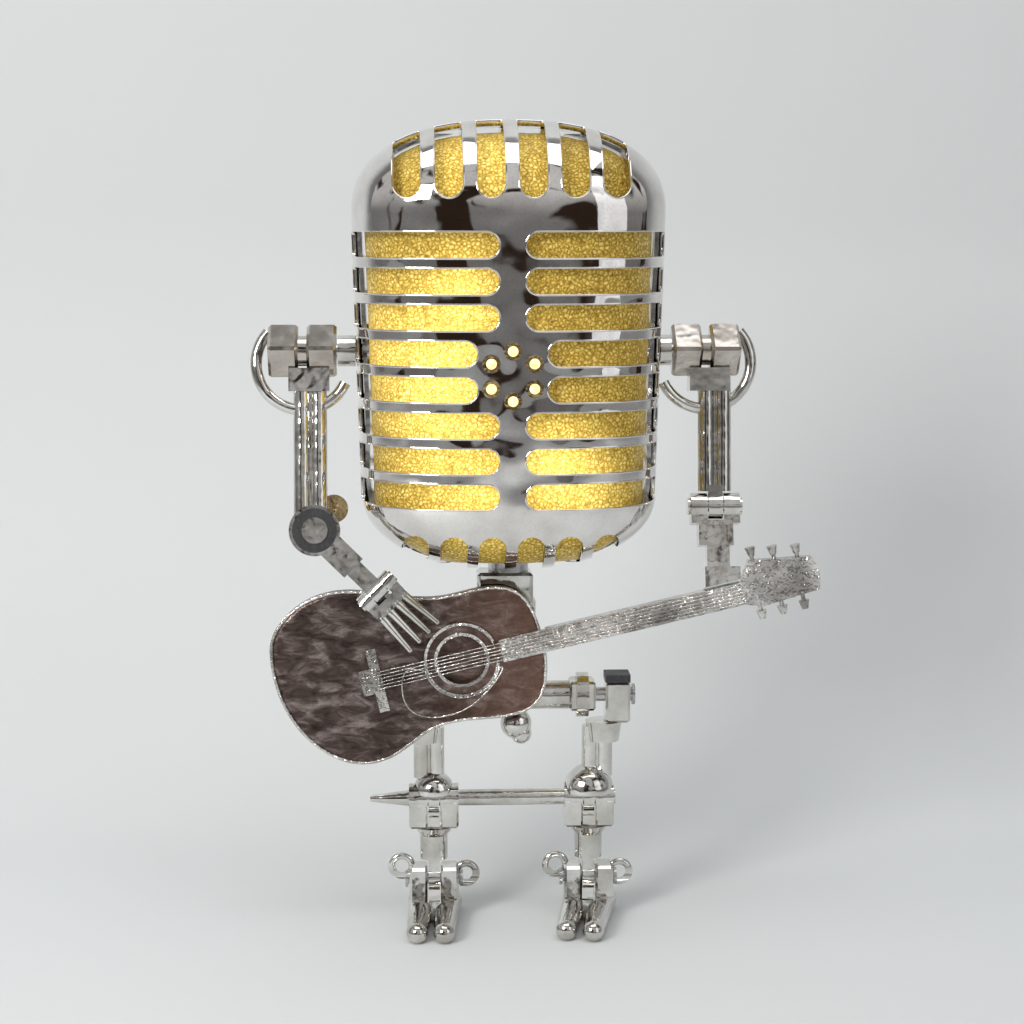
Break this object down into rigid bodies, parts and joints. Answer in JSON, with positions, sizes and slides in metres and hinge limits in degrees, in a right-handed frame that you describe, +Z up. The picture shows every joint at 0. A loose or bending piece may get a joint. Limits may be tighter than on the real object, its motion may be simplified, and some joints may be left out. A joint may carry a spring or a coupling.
{
  "type": "desk lamp",
  "caption": "Desk lamp shaped like a robot with a slotted vintage microphone head, jointed limbs and a small guitar.",
  "frame": {"origin": "middle of the whole figure's footprint, on the surface it stands on", "axes": "+Z up, -Y the way the figure faces, +X to its left, which is the viewer's right"},
  "size_m": [0.1574, 0.064, 0.225],
  "materials": {
    "polished_shell": "mirror polished plating",
    "side_frame_metal": "plated, slightly dull",
    "amber_liner": "crackled translucent amber film",
    "lit_lens": "clear amber lens",
    "plain_steel": "turned steel",
    "dark_plastic": "moulded black",
    "bulb_glass": "frosted glass",
    "circuit_board": "laminate",
    "limb_chrome": "plated castings with slight tarnish",
    "block_nickel": "satin nickel",
    "dark_rubber": "matt black",
    "brass": "worn brass",
    "guitar_bronze": "dark bronze over a bark-like relief",
    "guitar_chrome": "plated, antiqued"
  },
  "bodies": {
    "torso": {"torso": "limb_chrome", "neck_post": "plain_steel", "neck_nut": "plain_steel", "pelvis": "limb_chrome", "hip_axle": "plain_steel", "guitar_bracket": "plain_steel", "guitar_screw": "plain_steel", "guitar_body": "guitar_bronze", "guitar_soundboard": "guitar_bronze", "guitar_pickguard": "guitar_bronze", "guitar_rosette": "guitar_chrome", "guitar_bridge": "guitar_chrome", "guitar_neck": "guitar_chrome", "guitar_frets": "guitar_chrome", "guitar_strings": "guitar_chrome", "guitar_pegs": "guitar_chrome"},
    "head": {"head_front_shell": "polished_shell", "head_rear_shell": "polished_shell", "head_side_frame": "side_frame_metal", "head_liner": "amber_liner", "stud_bezels": "brass", "stud_lenses": "lit_lens", "head_base_plate": "plain_steel", "base_plate_screws": "plain_steel", "lamp_holder": "dark_plastic", "led_bulb": "bulb_glass", "dimmer_board": "circuit_board", "power_inlet": "dark_plastic", "left_shoulder_axle": "limb_chrome", "right_shoulder_axle": "limb_chrome", "shoulder_caps": "limb_chrome"},
    "left_upper_arm": {"left_shoulder_blocks": "block_nickel", "left_shoulder_yoke": "limb_chrome", "left_upper_arm": "limb_chrome", "left_elbow_screw": "limb_chrome", "left_elbow_knob": "brass"},
    "left_forearm": {"left_forearm": "limb_chrome", "left_elbow_ring": "dark_rubber", "left_forearm_slide": "limb_chrome", "left_wrist_bar": "limb_chrome"},
    "left_hand": {"left_hand": "limb_chrome"},
    "right_upper_arm": {"right_shoulder_blocks": "block_nickel", "right_shoulder_yoke": "limb_chrome", "right_upper_arm": "limb_chrome", "right_elbow_pin": "limb_chrome"},
    "right_forearm": {"right_forearm": "limb_chrome", "right_forearm_slide": "limb_chrome", "right_hand": "limb_chrome"},
    "thighs": {"left_thigh": "limb_chrome", "right_thigh": "limb_chrome", "left_hip_cap": "dark_rubber", "right_hip_cap": "dark_rubber", "knee_bar": "limb_chrome"},
    "left_shin": {"left_shin": "limb_chrome", "left_ankle_pin": "plain_steel"},
    "right_shin": {"right_shin": "limb_chrome", "right_ankle_pin": "plain_steel"},
    "left_foot": {"left_foot": "limb_chrome"},
    "right_foot": {"right_foot": "limb_chrome"}
  },
  "joints": [
    {"name": "head_turn", "type": "hinge", "parent": "torso", "child": "head", "pos_m": [-0.0076, 0.00067, 0.108], "axis": [0, 0, 1], "range_deg": [0, 30]},
    {"name": "left_shoulder", "type": "hinge", "parent": "head", "child": "left_upper_arm", "pos_m": [-0.0643, 0.00067, 0.162], "axis": [-1, 0, 0], "range_deg": [0, 100]},
    {"name": "left_elbow", "type": "hinge", "parent": "left_upper_arm", "child": "left_forearm", "pos_m": [-0.061, -0.00753, 0.11298], "axis": [0, 0.9863, -0.165], "range_deg": [-10, 100]},
    {"name": "left_wrist", "type": "hinge", "parent": "left_forearm", "child": "left_hand", "pos_m": [-0.04403, -0.01443, 0.09722], "axis": [-0.7009, -0.1177, -0.7035], "range_deg": [0, 45]},
    {"name": "right_shoulder", "type": "hinge", "parent": "head", "child": "right_upper_arm", "pos_m": [0.0472, 0.00067, 0.162], "axis": [-1, 0, 0], "range_deg": [-45, 0]},
    {"name": "right_elbow", "type": "hinge", "parent": "right_upper_arm", "child": "right_forearm", "pos_m": [0.0498, -0.00388, 0.11874], "axis": [-1, 0, 0], "range_deg": [-40, 0]},
    {"name": "hips", "type": "hinge", "parent": "torso", "child": "thighs", "pos_m": [-0.0076, 0.00067, 0.0645], "axis": [1, 0, 0], "range_deg": [-5, 25]},
    {"name": "left_knee", "type": "hinge", "parent": "thighs", "child": "left_shin", "pos_m": [-0.0288, 0.00067, 0.0348], "axis": [1, 0, 0], "range_deg": [-5, 40]},
    {"name": "right_knee", "type": "hinge", "parent": "thighs", "child": "right_shin", "pos_m": [0.0153, 0.00067, 0.0348], "axis": [1, 0, 0], "range_deg": [-5, 40]},
    {"name": "left_ankle", "type": "hinge", "parent": "left_shin", "child": "left_foot", "pos_m": [-0.0288, 0.00067, 0.0112], "axis": [1, 0, 0], "range_deg": [-12, 12]},
    {"name": "right_ankle", "type": "hinge", "parent": "right_shin", "child": "right_foot", "pos_m": [0.0153, 0.00067, 0.0112], "axis": [1, 0, 0], "range_deg": [-12, 12]}
  ]
}
